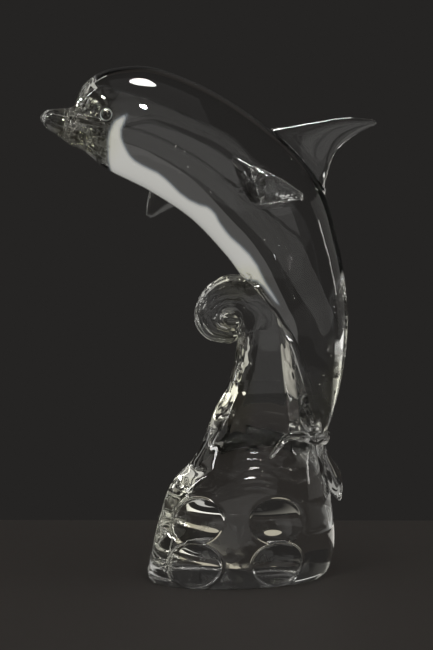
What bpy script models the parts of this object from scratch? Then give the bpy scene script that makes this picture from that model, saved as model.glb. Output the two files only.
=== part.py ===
# Clear glass dolphin leaping over a glass wave, in metres, +Z up.
# The dolphin faces -X, its near flank faces -Y, and the foot of the wave stands on z = 0.
import bpy
import bmesh
import numpy as np
from mathutils import Matrix, Vector

for item in list(bpy.data.objects):
    bpy.data.objects.remove(item)

# Driving sizes
HEIGHT = 0.340
CLEARANCE = 0.0003
FOOT_SKEW = 0.22
SKEW_TOP = 30.0
BEAK_TIP = 0.0014
TAIL_END = 0.004
FIN_TIP = 0.0022
CURL_TIP = 0.006
DIMPLE_WIDTH = 0.037
DIMPLE_TALL = 0.029
DIMPLE_DEPTH = 0.0052
# Thumb prints, row by row: share of the height and the turns round the foot, in degrees
DIMPLE_ROWS = ((4.4, (-110.0, -56.0)), (12.8, (-117.0, -63.0)))
# The stem's near and far faces: height and x of the bend towards the front, of the bend towards
# the back, and of the line where the back slope levels again
STEM_FRONT = ((20.0, -6.0), (27.0, -3.0), (33.0, -0.6), (36.5, 1.3), (41.5, 2.9), (48.5, 4.1), (53.0, 4.4))
STEM_BACK = ((20.0, 9.9), (27.0, 9.9), (32.4, 9.2), (42.1, 8.1), (49.5, 7.4), (53.3, 6.2))
STEM_LEVEL = ((20.0, 12.4), (27.0, 11.4), (37.3, 11.0), (42.0, 10.2), (49.1, 8.9), (53.3, 7.4))
# Heights between which the stem takes this section, and the shares of its depth on the two levels
STEM_HEIGHTS = (20.0, 36.0, 48.0, 55.0)
STEM_FACE = 0.86
STEM_STEP = 0.56

# The figure's pose and proportions are shares of its height, in percent.
SHARE = HEIGHT / 100

# Dolphin: back outline x, z, belly outline x, z, half width across
BODY = (
    (-38.5, 90.6, -38.5, 89.0, 0.7),
    (-37.8, 91.3, -37.6, 87.8, 1.9),
    (-36.4, 91.6, -36.3, 87.0, 2.6),
    (-34.9, 91.7, -35.0, 86.0, 3.1),
    (-33.4, 91.8, -33.8, 85.1, 3.7),
    (-32.3, 92.4, -32.8, 84.4, 4.5),
    (-31.7, 94.1, -31.8, 84.1, 5.4),
    (-30.7, 96.0, -30.5, 83.5, 6.4),
    (-28.8, 97.7, -28.9, 82.3, 7.7),
    (-26.5, 99.0, -27.1, 80.7, 8.9),
    (-23.4, 99.7, -24.8, 79.3, 9.9),
    (-18.3, 99.9, -21.3, 77.6, 10.8),
    (-11.7, 98.0, -17.6, 75.7, 11.2),
    (-1.2, 92.7, -9.8, 70.5, 11.4),
    (10.8, 83.3, -2.7, 63.1, 11.2),
    (16.0, 75.9, 0.1, 59.3, 10.4),
    (19.2, 65.1, 2.7, 55.5, 8.9),
    (20.6, 56.8, 5.5, 51.8, 7.6),
    (21.0, 49.8, 8.7, 47.0, 6.2),
    (20.4, 42.7, 10.8, 41.9, 4.9),
    (19.3, 36.8, 12.6, 36.5, 3.9),
    (17.2, 29.4, 14.6, 29.1, 3.0),
    (15.2, 24.0, 13.4, 23.6, 2.2),
)

# Fins: leading edge x, z, trailing edge x, z, y, half thickness
DORSAL_FIN = (
    (3.1, 85.4, 14.4, 71.2, 0.0, 2.6),
    (5.6, 87.6, 16.4, 74.3, 0.0, 1.9),
    (8.3, 88.1, 16.8, 78.2, 0.0, 1.4),
    (14.5, 89.1, 18.8, 83.5, 0.0, 0.95),
    (20.7, 90.0, 23.1, 87.0, 0.0, 0.8),
    (25.4, 89.6, 26.0, 88.4, 0.0, 0.5),
)
NEAR_FIN = (
    (-5.1, 83.7, -0.4, 70.9, -6.4, 1.9),
    (-2.0, 82.9, 2.6, 72.7, -10.0, 1.3),
    (1.1, 81.1, 4.3, 73.0, -12.4, 1.3),
    (7.5, 78.1, 8.6, 73.5, -14.6, 1.1),
    (11.1, 75.6, 11.4, 73.9, -15.4, 0.8),
)
FAR_FIN = (
    (-15.1, 81.8, -6.9, 78.3, 4.4, 2.1),
    (-17.2, 77.7, -9.9, 74.2, 8.0, 1.5),
    (-18.4, 74.6, -13.6, 72.6, 10.8, 1.1),
    (-18.8, 71.6, -17.2, 70.8, 13.4, 0.7),
)
NEAR_FLUKE = (
    (16.3, 29.4, 15.8, 26.2, -1.0, 1.5),
    (15.0, 29.2, 14.4, 26.6, -4.2, 1.3),
    (13.0, 29.2, 12.5, 27.1, -6.7, 1.15),
    (10.9, 29.6, 10.5, 27.9, -8.2, 1.0),
    (9.1, 29.2, 8.8, 27.6, -9.0, 0.85),
    (7.6, 27.6, 7.3, 26.1, -9.8, 0.7),
    (6.3, 25.9, 6.0, 24.7, -10.5, 0.5),
)
FAR_FLUKE = (
    (15.0, 27.6, 15.6, 21.6, 1.0, 1.4),
    (16.4, 25.1, 17.0, 18.6, 4.0, 1.25),
    (17.7, 22.9, 18.5, 15.8, 6.6, 1.1),
    (19.2, 20.7, 19.6, 14.2, 8.6, 0.95),
    (19.9, 18.3, 19.8, 13.9, 10.0, 0.75),
)

# Wave: front outline x, z, back outline x, z, half depth
WAVE = (
    (-17.3, 0.0, 16.1, 0.0, 14.5),
    (-18.0, 1.2, 17.3, 1.2, 15.1),
    (-17.5, 4.9, 18.4, 5.4, 15.3),
    (-16.5, 9.3, 18.5, 9.3, 15.1),
    (-15.5, 13.0, 18.1, 13.3, 14.5),
    (-14.1, 17.4, 17.6, 17.6, 13.8),
    (-12.2, 20.3, 16.9, 20.8, 12.8),
    (-9.6, 22.9, 16.3, 23.7, 11.4),
    (-7.8, 25.8, 15.8, 26.7, 9.9),
    (-6.5, 29.0, 15.2, 29.8, 8.5),
    (-5.1, 32.9, 14.1, 33.7, 7.2),
    (-2.8, 36.8, 12.7, 37.6, 6.1),
    (-1.4, 41.2, 11.3, 42.3, 5.4),
    (-0.8, 45.1, 10.2, 46.7, 5.0),
    (-0.5, 47.6, 9.0, 51.0, 4.8),
    (-0.4, 49.6, 7.7, 54.5, 4.6),
    (-0.7, 50.9, 5.7, 57.7, 4.3),
    (-1.6, 51.5, 3.2, 59.5, 3.9),
    (-2.15, 51.65, 0.4, 59.4, 3.7),
    (-2.5, 51.65, -2.8, 59.2, 3.5),
    (-2.8, 51.55, -5.8, 57.6, 3.3),
    (-3.0, 51.35, -7.8, 55.1, 3.1),
    (-3.1, 51.05, -8.9, 52.1, 3.0),
    (-3.05, 50.75, -8.4, 49.2, 2.8),
    (-2.9, 50.5, -6.5, 47.0, 2.6),
    (-2.6, 50.3, -3.9, 46.2, 2.3),
)

# Curl: x, z and radius of its rounded end and of the bead that closes its middle
CURL_BALLS = ((-2.3, 48.0, 2.05), (-1.75, 50.5, 1.95))


def curve_through(rows, count):
    """Rows read off a smooth curve through the given rows, evenly spaced along it."""
    rows = np.array(rows, float)
    steps = np.linalg.norm(np.diff(rows, axis=0), axis=1) ** 0.5
    knots = np.concatenate([[0.0], np.cumsum(steps)])
    slopes = np.gradient(rows, knots, axis=0)
    fine = np.linspace(0.0, knots[-1], 40 * len(rows))
    cell = np.clip(np.searchsorted(knots, fine, side="right") - 1, 0, len(rows) - 2)
    span = (knots[cell + 1] - knots[cell])[:, None]
    u = (fine[:, None] - knots[cell][:, None]) / span
    curve = (
        (2 * u**3 - 3 * u**2 + 1) * rows[cell]
        + (u**3 - 2 * u**2 + u) * span * slopes[cell]
        + (3 * u**2 - 2 * u**3) * rows[cell + 1]
        + (u**3 - u**2) * span * slopes[cell + 1]
    )
    travel = np.linalg.norm(np.diff(curve, axis=0), axis=1)
    along = np.concatenate([[0.0], np.cumsum(travel)])
    wanted = np.linspace(0.0, along[-1], count)
    return np.stack([np.interp(wanted, along, column) for column in curve.T], axis=1)


def unit(vectors):
    return vectors / np.linalg.norm(vectors, axis=-1, keepdims=True)


def edge_frames(edges, count):
    """Ring centres, half-chord vectors and half-thickness vectors of a fin between two edges."""
    rows = curve_through(edges, count) * SHARE
    lead = np.stack([rows[:, 0], rows[:, 4], rows[:, 1]], axis=1)
    trail = np.stack([rows[:, 2], rows[:, 4], rows[:, 3]], axis=1)
    centre = (lead + trail) / 2
    way = np.gradient(centre, axis=0)
    flat = unit(np.cross(lead - trail, way))
    return centre, (lead - trail) / 2, flat * rows[:, 5:6]


def depth_frames(edges, count, twist):
    """Ring centres, half-thickness vectors and half-depth vectors between two side outlines."""
    rows = curve_through(edges, count) * SHARE
    front = np.stack([rows[:, 0], 0 * rows[:, 0], rows[:, 1]], axis=1)
    back = np.stack([rows[:, 2], 0 * rows[:, 0], rows[:, 3]], axis=1)
    half = (back - front) / 2
    skew = twist * np.clip(1 - rows[:, 1:2] / (SKEW_TOP * SHARE), 0, 1)
    lean = np.stack([0 * rows[:, 0], 0 * rows[:, 0] + 1, 0 * rows[:, 0]], axis=1)
    side = lean * rows[:, 4:5] + half * skew
    return (front + back) / 2, half / np.sqrt(1 + skew**2), side


def rounded_ends(frames, start, end, turns):
    """Adds domed rings before the first ring and after the last, each of the given length."""
    centre, first, second = frames
    for length, at, inner in ((start, 0, 1), (end, -1, -2)):
        if not length:
            continue
        out = unit(centre[at] - centre[inner])
        angles = np.arange(1, turns + 1)[:, None] * (np.pi / 2 / (turns + 0.35))
        dome = (
            centre[at] + out * length * np.sin(angles),
            first[at] * np.cos(angles),
            second[at] * np.cos(angles),
        )
        if at == 0:
            joined = [np.concatenate([new[::-1], old]) for new, old in zip(dome, (centre, first, second))]
        else:
            joined = [np.concatenate([old, new]) for new, old in zip(dome, (centre, first, second))]
        centre, first, second = joined
    return centre, first, second


def ramp(value, start, end):
    """Nothing up to start, one from end on."""
    return min(1.0, max(0.0, (value - start) / (end - start)))


def stem_depth(middle, reach, turn, across):
    """Share of a ring's half depth at a turn: on the stem, a level face between two bends."""
    x, _, z = (middle + reach * np.cos(turn)) / SHARE
    level = middle[2] / SHARE
    low, full, fade, gone = STEM_HEIGHTS
    part = ramp(level, low, full) * (1 - ramp(level, fade, gone))
    part = part * part * (3 - 2 * part) * ramp(middle[0] / SHARE, 0.5, 1.5)
    front_bend, back_bend, step = [
        np.interp(z, [row[0] for row in line], [row[1] for row in line])
        for line in (STEM_FRONT, STEM_BACK, STEM_LEVEL)
    ]
    front = (middle[0] - abs(reach[0])) / SHARE
    back = (middle[0] + abs(reach[0])) / SHARE
    front_nose = np.sqrt(ramp(x, front, max(front_bend, front + 0.1)))
    back_nose = np.sqrt(ramp(back - x, 0.0, max(back - step, 0.1)))
    slope = 1 - (1 - STEM_STEP) * ramp(x, back_bend, step)
    flat = STEM_FACE * front_nose * back_nose * slope
    return across * (1 - part) + np.sign(across) * flat * part


def loft(name, frames, sides, blunt=1.0, grow=0.0, ends=(0.0, 0.0), turns=2, section=None):
    """A closed skin over elliptical rings, one ring for each frame."""
    centre, first, second = rounded_ends(frames, ends[0], ends[1], turns)
    if grow:
        first = first + unit(first) * grow
        second = second + unit(second) * grow
        centre = centre.copy()
        centre[0] += unit(centre[0] - centre[1]) * grow
        centre[-1] += unit(centre[-1] - centre[-2]) * grow
    mesh = bpy.data.meshes.new(name)
    bm = bmesh.new()
    rings = []
    for middle, a, b in zip(centre, first, second):
        ring = []
        for step in range(sides):
            turn = 2 * np.pi * (step + 0.5) / sides
            across = np.sign(np.sin(turn)) * abs(np.sin(turn)) ** blunt
            if section:
                across = section(middle, a, turn, across)
            ring.append(bm.verts.new(Vector(middle + a * np.cos(turn) + b * across)))
        rings.append(ring)
    for near, far in zip(rings, rings[1:]):
        for step in range(sides):
            nxt = (step + 1) % sides
            bm.faces.new((near[step], near[nxt], far[nxt], far[step]))
    bm.faces.new(list(reversed(rings[0])))
    bm.faces.new(rings[-1])
    bmesh.ops.recalc_face_normals(bm, faces=bm.faces[:])
    if bm.calc_volume(signed=True) < 0:
        bmesh.ops.reverse_faces(bm, faces=bm.faces[:])
    for face in bm.faces:
        face.smooth = True
    bm.to_mesh(mesh)
    bm.free()
    obj = bpy.data.objects.new(name, mesh)
    bpy.context.scene.collection.objects.link(obj)
    return obj


def as_tool(obj):
    """Hides a cutter or an added part that is taken up by a Boolean."""
    obj.hide_render = True
    obj.display_type = "WIRE"
    return obj


def combine(body, tool, operation):
    step = body.modifiers.new(tool.name, "BOOLEAN")
    step.operation = operation
    step.solver = "EXACT"
    step.object = as_tool(tool)


def glass(name, colour):
    material = bpy.data.materials.new(name)
    material.use_nodes = True
    shader = material.node_tree.nodes["Principled BSDF"]
    shader.inputs["Base Color"].default_value = (*colour, 1.0)
    shader.inputs["Roughness"].default_value = 0.03
    shader.inputs["Metallic"].default_value = 0.0
    return material


def dolphin_parts(grow=0.0, label=""):
    """Body, fins and flukes, each a closed skin, grown outward where they serve as a cutter."""
    body = loft("dolphin" + label, depth_frames(BODY, 42, 0.0), 24, 1.0, grow, (BEAK_TIP, TAIL_END), 1)
    fins = []
    for name, edges, count in (
        ("dorsal fin", DORSAL_FIN, 13),
        ("near pectoral fin", NEAR_FIN, 10),
        ("far pectoral fin", FAR_FIN, 9),
        ("near fluke", NEAR_FLUKE, 12),
        ("far fluke", FAR_FLUKE, 11),
    ):
        frames = edge_frames(edges, count)
        fins.append(loft(name + label, frames, 14, 0.75, grow, (0.0, FIN_TIP), 2))
    return body, fins


def ball(name, x, z, radius):
    """The rounded end of the curl, a sphere pressed against the stem."""
    bm = bmesh.new()
    place = Matrix.Translation(Vector((x, 0, z)) * SHARE)
    bmesh.ops.create_uvsphere(bm, u_segments=16, v_segments=9, radius=radius * SHARE, matrix=place)
    mesh = bpy.data.meshes.new(name)
    bm.to_mesh(mesh)
    bm.free()
    obj = bpy.data.objects.new(name, mesh)
    bpy.context.scene.collection.objects.link(obj)
    return obj


def foot_at(share):
    """Front x, back x and half depth of the foot at a share of the height."""
    foot = np.array(WAVE[:12])
    return [np.interp(share, foot[:, 1], foot[:, column]) * SHARE for column in (0, 2, 4)]


def dimple_row(name, share, turns):
    """One row of shallow egg-shaped cutters whose middles stand just outside the foot."""
    bm = bmesh.new()
    height = share * SHARE
    front, back, depth = foot_at(share)
    slope = np.arctan2(depth - foot_at(share + 1)[2], SHARE)
    middle, half = (front + back) / 2, (back - front) / 2
    skew = FOOT_SKEW * max(0.0, 1 - share / SKEW_TOP)
    narrow = 1 / np.sqrt(1 + skew**2)
    outside = 0.45
    stretch = 1 / np.sqrt(1 - outside**2)
    for turn in np.radians(turns):
        x = middle + half * narrow * np.cos(turn) + half * skew * np.sin(turn)
        y = depth * np.sin(turn)
        along = (-half * narrow * np.sin(turn) + half * skew * np.cos(turn), depth * np.cos(turn))
        facing = np.arctan2(-along[0], along[1])
        thick = DIMPLE_DEPTH / (1 - outside)
        out = Vector((np.cos(facing), np.sin(facing), 0)) * (thick * outside)
        place = Matrix.Translation(Vector((x, y, height)) + out)
        place = place @ Matrix.Rotation(facing, 4, "Z") @ Matrix.Rotation(-slope, 4, "Y")
        half_size = (thick, DIMPLE_WIDTH / 2 * stretch, DIMPLE_TALL / 2 * stretch)
        place = place @ Matrix.Diagonal((*half_size, 1))
        bmesh.ops.create_uvsphere(bm, u_segments=22, v_segments=12, radius=1.0, matrix=place)
    bmesh.ops.recalc_face_normals(bm, faces=bm.faces[:])
    mesh = bpy.data.meshes.new(name)
    bm.to_mesh(mesh)
    bm.free()
    obj = bpy.data.objects.new(name, mesh)
    bpy.context.scene.collection.objects.link(obj)
    return obj


dolphin, fins = dolphin_parts()
for fin in fins:
    combine(dolphin, fin, "UNION")
dolphin.data.materials.append(glass("clear glass, dolphin", (0.93, 0.95, 0.94)))

wave = loft("wave", depth_frames(WAVE, 52, FOOT_SKEW), 34, 1.0, 0.0, (0.0, CURL_TIP), 2, stem_depth)
for vertex in wave.data.vertices:
    if vertex.co.z < 1e-5:
        vertex.co.z = 0.0
for number, (x, z, radius) in enumerate(CURL_BALLS):
    combine(wave, ball("curl ball " + str(number + 1), x, z, radius), "UNION")
for number, (share, turns) in enumerate(DIMPLE_ROWS):
    tool = dimple_row("dimples " + str(number + 1), share, turns)
    combine(wave, tool, "DIFFERENCE")
body_space, fin_spaces = dolphin_parts(CLEARANCE, " clearance")
for space in [body_space] + fin_spaces:
    combine(wave, space, "DIFFERENCE")
wave.data.materials.append(glass("clear glass, wave", (0.92, 0.95, 0.93)))
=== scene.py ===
import bpy
import numpy as np
from mathutils import Euler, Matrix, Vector


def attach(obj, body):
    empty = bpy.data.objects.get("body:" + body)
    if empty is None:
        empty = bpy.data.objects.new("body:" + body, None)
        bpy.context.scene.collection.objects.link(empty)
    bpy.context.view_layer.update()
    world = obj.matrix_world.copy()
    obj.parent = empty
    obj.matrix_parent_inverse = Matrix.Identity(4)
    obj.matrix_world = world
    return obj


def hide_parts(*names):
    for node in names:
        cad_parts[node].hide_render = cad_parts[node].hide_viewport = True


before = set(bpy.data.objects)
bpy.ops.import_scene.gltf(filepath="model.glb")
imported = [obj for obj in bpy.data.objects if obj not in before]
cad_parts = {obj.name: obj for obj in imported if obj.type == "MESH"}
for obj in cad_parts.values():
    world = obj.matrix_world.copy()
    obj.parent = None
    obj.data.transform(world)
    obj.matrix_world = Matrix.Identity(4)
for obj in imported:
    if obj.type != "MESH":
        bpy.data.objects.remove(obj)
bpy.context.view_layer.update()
print("frame loaded")

figureHeight = 0.340  # metres
share = figureHeight / 100  # outlines and places in x and z are in percent of the height


# the camera, at the photograph's viewing angle
photoView = {
    "place": (0.0, -1.4794, 0.2476),
    "down": 3.06,  # degrees below level
    "turn": 0.61,  # degrees to the left
    "focalPixels": 2231.0,
    "imageTall": 650,  # pixels
    "sensorTall": 24.0,  # mm
}


# a lens whose focal length is to the sensor as the focal length in pixels is to the image
def placeCamera(v):
    data = bpy.data.cameras.new("photoCamera")
    data.sensor_fit = "VERTICAL"
    data.sensor_height = v["sensorTall"]
    data.lens = v["focalPixels"] / v["imageTall"] * v["sensorTall"]
    camera = bpy.data.objects.new("photoCamera", data)
    camera.location = v["place"]
    camera.rotation_euler = Euler((np.radians(90 - v["down"]), 0, np.radians(v["turn"])))
    bpy.context.scene.collection.objects.link(camera)
    bpy.context.scene.camera = camera


placeCamera(photoView)


# small formulas that the surfaces share


# each vector over its length
def unit(v):
    return v / np.maximum(np.linalg.norm(v, axis=-1, keepdims=True), 1e-12)


# nothing up to start, one from end on, straight between them
def ramp(value, start, end):
    return np.clip((value - start) / (end - start), 0, 1)


# three t squared less two t cubed, which leaves nothing and one gently
def eased(t):
    return t * t * (3 - 2 * t)


# one in the middle, and e to the minus square of the distance over the width away from it
def bell(far, wide):
    return np.exp(-((far / wide) ** 2))


# a sine of the travel: two pi for each wavelength, which is in mm, after its lead
def swing(travel, wavelength, lead=0.0):
    return np.sin(2 * np.pi / 0.001 / wavelength * travel + lead)


# a patch in the x, z plane: one in the middle, e to the minus fourth power of the elliptical radius
def patchOver(x, z, middle, reach):
    u = (x / share - middle[0]) / reach[0]
    v = (z / share - middle[1]) / reach[1]
    return np.exp(-((u * u + v * v) ** 2))


# distance of each x, z from a bent line: the least of the distances from its straight pieces
def farFrom(x, z, line):
    line = np.array(line) * share
    near = np.full(x.shape, np.inf)
    for (x0, z0), (x1, z1) in zip(line[:-1], line[1:]):
        dx, dz = x1 - x0, z1 - z0
        t = np.clip(((x - x0) * dx + (z - z0) * dz) / (dx * dx + dz * dz), 0, 1)
        near = np.minimum(near, np.hypot(x - x0 - t * dx, z - z0 - t * dz))
    return near


# true where x, z lies inside a closed line: it has crossed an odd number of edges on the way there
def insideOf(x, z, line):
    line = np.array(line) * share
    inside = np.zeros(x.shape, bool)
    for (x0, z0), (x1, z1) in zip(line, np.roll(line, -1, 0)):
        crosses = (z0 > z) != (z1 > z)
        inside ^= crosses & (x < x0 + (z - z0) * (x1 - x0) / (z1 - z0 if z1 != z0 else 1e-9))
    return inside


# turns round a ring, evenly spaced, half a step from nothing
def evenTurns(sides):
    return (np.arange(sides) + 0.5) / sides * 2 * np.pi


# a smooth curve through the rows (cubic pieces whose slopes are the mean of their neighbours),
# read at count places whose spacing is one over density(travel share)
def readCurve(rows, count, density=None):
    rows = np.array(rows, float)
    knots = np.concatenate([[0.0], np.cumsum(np.linalg.norm(np.diff(rows, axis=0), axis=1) ** 0.5)])
    slopes = np.gradient(rows, knots, axis=0)
    t = np.linspace(0.0, knots[-1], 60 * len(rows))  # much finer than the rows
    cell = np.clip(np.searchsorted(knots, t, side="right") - 1, 0, len(rows) - 2)
    span = (knots[cell + 1] - knots[cell])[:, None]
    u = (t[:, None] - knots[cell][:, None]) / span
    curve = (
        (2 * u**3 - 3 * u**2 + 1) * rows[cell]
        + (u**3 - 2 * u**2 + u) * span * slopes[cell]
        + (3 * u**2 - 2 * u**3) * rows[cell + 1]
        + (u**3 - u**2) * span * slopes[cell + 1]
    )
    travel = np.linalg.norm(np.diff(curve, axis=0), axis=1)
    along = np.concatenate([[0.0], np.cumsum(travel)])
    weight = np.ones(len(t)) if density is None else density(along / along[-1])
    reach = np.concatenate([[0.0], np.cumsum(travel * (weight[1:] + weight[:-1]) / 2)])
    wanted = np.linspace(0.0, reach[-1], count)
    return np.stack([np.interp(wanted, reach, column) for column in curve.T], axis=1)


# rings between a back and a belly outline: middle, half thickness and half width of each;
# the half width leans along the half thickness by skew, which falls to nothing at skewTop percent
def bodyRings(rows, skew=0.0, skewTop=100.0):
    rows = rows * share
    zero = np.zeros(len(rows))
    upper = np.stack([rows[:, 0], zero, rows[:, 1]], axis=1)
    lower = np.stack([rows[:, 2], zero, rows[:, 3]], axis=1)
    half = (upper - lower) / 2
    lean = (skew * np.clip(1 - rows[:, 1] / (skewTop * share), 0, 1))[:, None]
    across = np.array([0.0, 1.0, 0.0]) * rows[:, 4:5]
    return (upper + lower) / 2, half / np.sqrt(1 + lean**2), across - half * lean


# rings between the leading and trailing edge of a fin, thick along the fin's own normal
def finRings(rows):
    rows = rows * share
    lead = np.stack([rows[:, 0], rows[:, 4], rows[:, 1]], axis=1)
    trail = np.stack([rows[:, 2], rows[:, 4], rows[:, 3]], axis=1)
    middle = (lead + trail) / 2
    flat = unit(np.cross(lead - trail, np.gradient(middle, axis=0)))
    return middle, (lead - trail) / 2, flat * rows[:, 5:6]


# the last (or first) ring carried on as a dome: its size falls as a cosine while it moves on as a sine
def dome(rings, length, count, first=False):
    middle, a, b = [r[::-1] for r in rings] if first else rings
    out = unit(middle[-1] - middle[-2])
    turn = (np.arange(1, count + 1) / (count + 0.35) * np.pi / 2)[:, None]  # stops just short
    middle = np.concatenate([middle, middle[-1] + out * length * np.sin(turn)])
    a = np.concatenate([a, a[-1] * np.cos(turn)])
    b = np.concatenate([b, b[-1] * np.cos(turn)])
    return [r[::-1] for r in (middle, a, b)] if first else [middle, a, b]


# points of elliptical rings: middle + a cos + b sin, the sine raised to blunt for a fuller edge
def ringPoints(rings, turns, blunt=1.0):
    middle, a, b = rings
    c, s = np.cos(turns)[None, :, None], np.sin(turns)[None, :, None]
    s = np.sign(s) * np.abs(s) ** blunt
    return middle[:, None] + a[:, None] * c + b[:, None] * s


# an object made of points and faces, smooth shaded and in the scene
def newPiece(name, points, faces):
    mesh = bpy.data.meshes.new(name)
    mesh.from_pydata(points.tolist(), [], faces)
    mesh.shade_smooth()
    piece = bpy.data.objects.new(name, mesh)
    bpy.context.scene.collection.objects.link(piece)
    return piece


# a closed skin over rings of points: four-sided faces between rings and a fan at each end;
# past ring halve every second point is dropped
def closedSkin(name, grid, halve=None):
    parts, faces, edges, start = [], [], [], 0
    blocks = [grid] if halve is None else [grid[: halve + 1], grid[halve + 1 :, ::2]]
    for block in blocks:
        n, m = block.shape[:2]
        index = start + np.arange(n * m).reshape(n, m)
        here, there = index[:-1], index[1:]
        quads = np.stack([here, np.roll(here, -1, 1), np.roll(there, -1, 1), there], axis=-1)
        faces += quads.reshape(-1, 4).tolist()
        parts.append(block.reshape(-1, 3))
        edges.append((index[0], index[-1]))
        start += n * m
    if halve is not None:
        wide, slim = edges[0][1], edges[1][0]
        even, odd, after = wide[::2], wide[1::2], np.roll(wide[::2], -1)
        onward = np.roll(slim, -1)
        for trio in ((even, odd, slim), (odd, onward, slim), (odd, after, onward)):
            faces += np.stack(trio, axis=1).tolist()
    poles = np.stack([grid[0].mean(axis=0), grid[-1].mean(axis=0)])
    first, last = edges[0][0], edges[-1][1]
    faces += np.stack([np.full(len(first), start), np.roll(first, -1), first], axis=1).tolist()
    faces += np.stack([np.full(len(last), start + 1), last, np.roll(last, -1)], axis=1).tolist()
    points = np.concatenate(parts + [poles])
    corners = np.array([f[:3] for f in faces])
    volume = np.linalg.det(points[corners] - points.mean(axis=0)).sum()
    if volume < 0:
        faces = [f[::-1] for f in faces]
    return newPiece(name, points, faces)


# a closed ball: rings of radius r cos(latitude) at heights r sin(latitude), up to a last latitude
def ballSkin(name, middle, radius, lastLatitude, rings, sides):
    latitudes = np.radians(np.linspace(-lastLatitude, lastLatitude, rings))
    turns = evenTurns(sides)
    ring = np.stack([np.cos(turns), np.sin(turns), 0 * turns], axis=1)
    grid = ring[None] * np.cos(latitudes)[:, None, None]
    grid[..., 2] = np.sin(latitudes)[:, None]
    return closedSkin(name, grid * radius + np.array(middle))


# the dolphin
dolphinSizes = {
    # back x, z, belly x, z, half width
    "body": (
        (-38.5, 90.6, -38.5, 89.0, 0.7), (-37.8, 91.3, -37.6, 87.8, 1.9),
        (-36.4, 91.6, -36.3, 87.0, 2.6), (-34.9, 91.7, -35.0, 86.0, 3.1),
        (-33.4, 91.8, -33.8, 85.1, 3.7), (-32.3, 92.4, -32.8, 84.4, 4.5),
        (-31.7, 94.1, -31.8, 84.1, 5.4), (-30.7, 96.0, -30.5, 83.5, 6.4),
        (-28.8, 97.7, -28.9, 82.3, 7.7), (-26.5, 99.0, -27.1, 80.7, 8.9),
        (-23.4, 99.7, -24.8, 79.3, 9.9), (-18.3, 99.9, -21.3, 77.6, 10.8),
        (-11.7, 98.0, -17.6, 75.7, 11.2), (-1.2, 92.7, -9.8, 70.5, 11.4),
        (10.8, 83.3, -2.7, 63.1, 11.2), (16.0, 75.9, 0.1, 59.3, 10.4),
        (19.2, 65.1, 2.7, 55.5, 8.9), (20.6, 56.8, 5.5, 51.8, 7.6),
        (21.0, 49.8, 8.7, 47.0, 6.2), (20.4, 42.7, 10.8, 41.9, 4.9),
        (19.3, 36.8, 12.6, 36.5, 3.9), (17.2, 29.4, 14.6, 29.1, 3.0),
        (15.2, 24.0, 13.4, 23.6, 2.2),
    ),
    "bodyRings": 236,
    "bodySides": 144,
    "bodyDomes": 5,  # rings in the dome at each end
    "headFineness": 5.0,  # how much closer the rings lie on the head
    "headReach": 0.20,  # share of the body's length
    "flankFineness": 0.36,  # how much closer the sides lie where the eyes and the mouth are
    "beakTip": 0.0014,
    "tailEnd": 0.004,
    "finTip": 0.0022,
    "finBlunt": 0.75,
    "finRings": 40,
    "finSides": 32,
    "finDomes": 6,
    # leading edge x, z, trailing edge x, z, y, half thickness
    "dorsalFin": (
        (3.1, 85.4, 14.4, 71.2, 0.0, 2.6), (5.6, 87.6, 16.4, 74.3, 0.0, 1.9),
        (8.3, 88.1, 16.8, 78.2, 0.0, 1.4), (14.5, 89.1, 18.8, 83.5, 0.0, 0.95),
        (20.7, 90.0, 23.1, 87.0, 0.0, 0.8), (25.4, 89.6, 26.0, 88.4, 0.0, 0.5),
    ),
    "nearFin": (
        (-5.1, 83.7, -0.4, 70.9, -6.4, 1.9), (-2.0, 82.9, 2.6, 72.7, -10.0, 1.3),
        (1.1, 81.1, 4.3, 73.0, -12.4, 1.3), (7.5, 78.1, 8.6, 73.5, -14.6, 1.1),
        (11.1, 75.6, 11.4, 73.9, -15.4, 0.8),
    ),
    "farFin": (
        (-15.1, 81.8, -6.9, 78.3, 4.4, 2.1), (-17.2, 77.7, -9.9, 74.2, 8.0, 1.5),
        (-18.4, 74.6, -13.6, 72.6, 10.8, 1.1), (-18.8, 71.6, -17.2, 70.8, 13.4, 0.7),
    ),
    "nearFluke": (
        (16.3, 29.4, 15.8, 26.2, -1.0, 1.5), (15.0, 29.2, 14.4, 26.6, -4.2, 1.3),
        (13.0, 29.2, 12.5, 27.1, -6.7, 1.15), (10.9, 29.6, 10.5, 27.9, -8.2, 1.0),
        (9.1, 29.2, 8.8, 27.6, -9.0, 0.85), (7.6, 27.6, 7.3, 26.1, -9.8, 0.7),
        (6.3, 25.9, 6.0, 24.7, -10.5, 0.5),
    ),
    "farFluke": (
        (15.0, 27.6, 15.6, 21.6, 1.0, 1.4), (16.4, 25.1, 17.0, 18.6, 4.0, 1.25),
        (17.7, 22.9, 18.5, 15.8, 6.6, 1.1), (19.2, 20.7, 19.6, 14.2, 8.6, 0.95),
        (19.9, 18.3, 19.8, 13.9, 10.0, 0.75),
    ),
    "fins": ("dorsalFin", "nearFin", "farFin", "nearFluke", "farFluke"),
}
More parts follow.
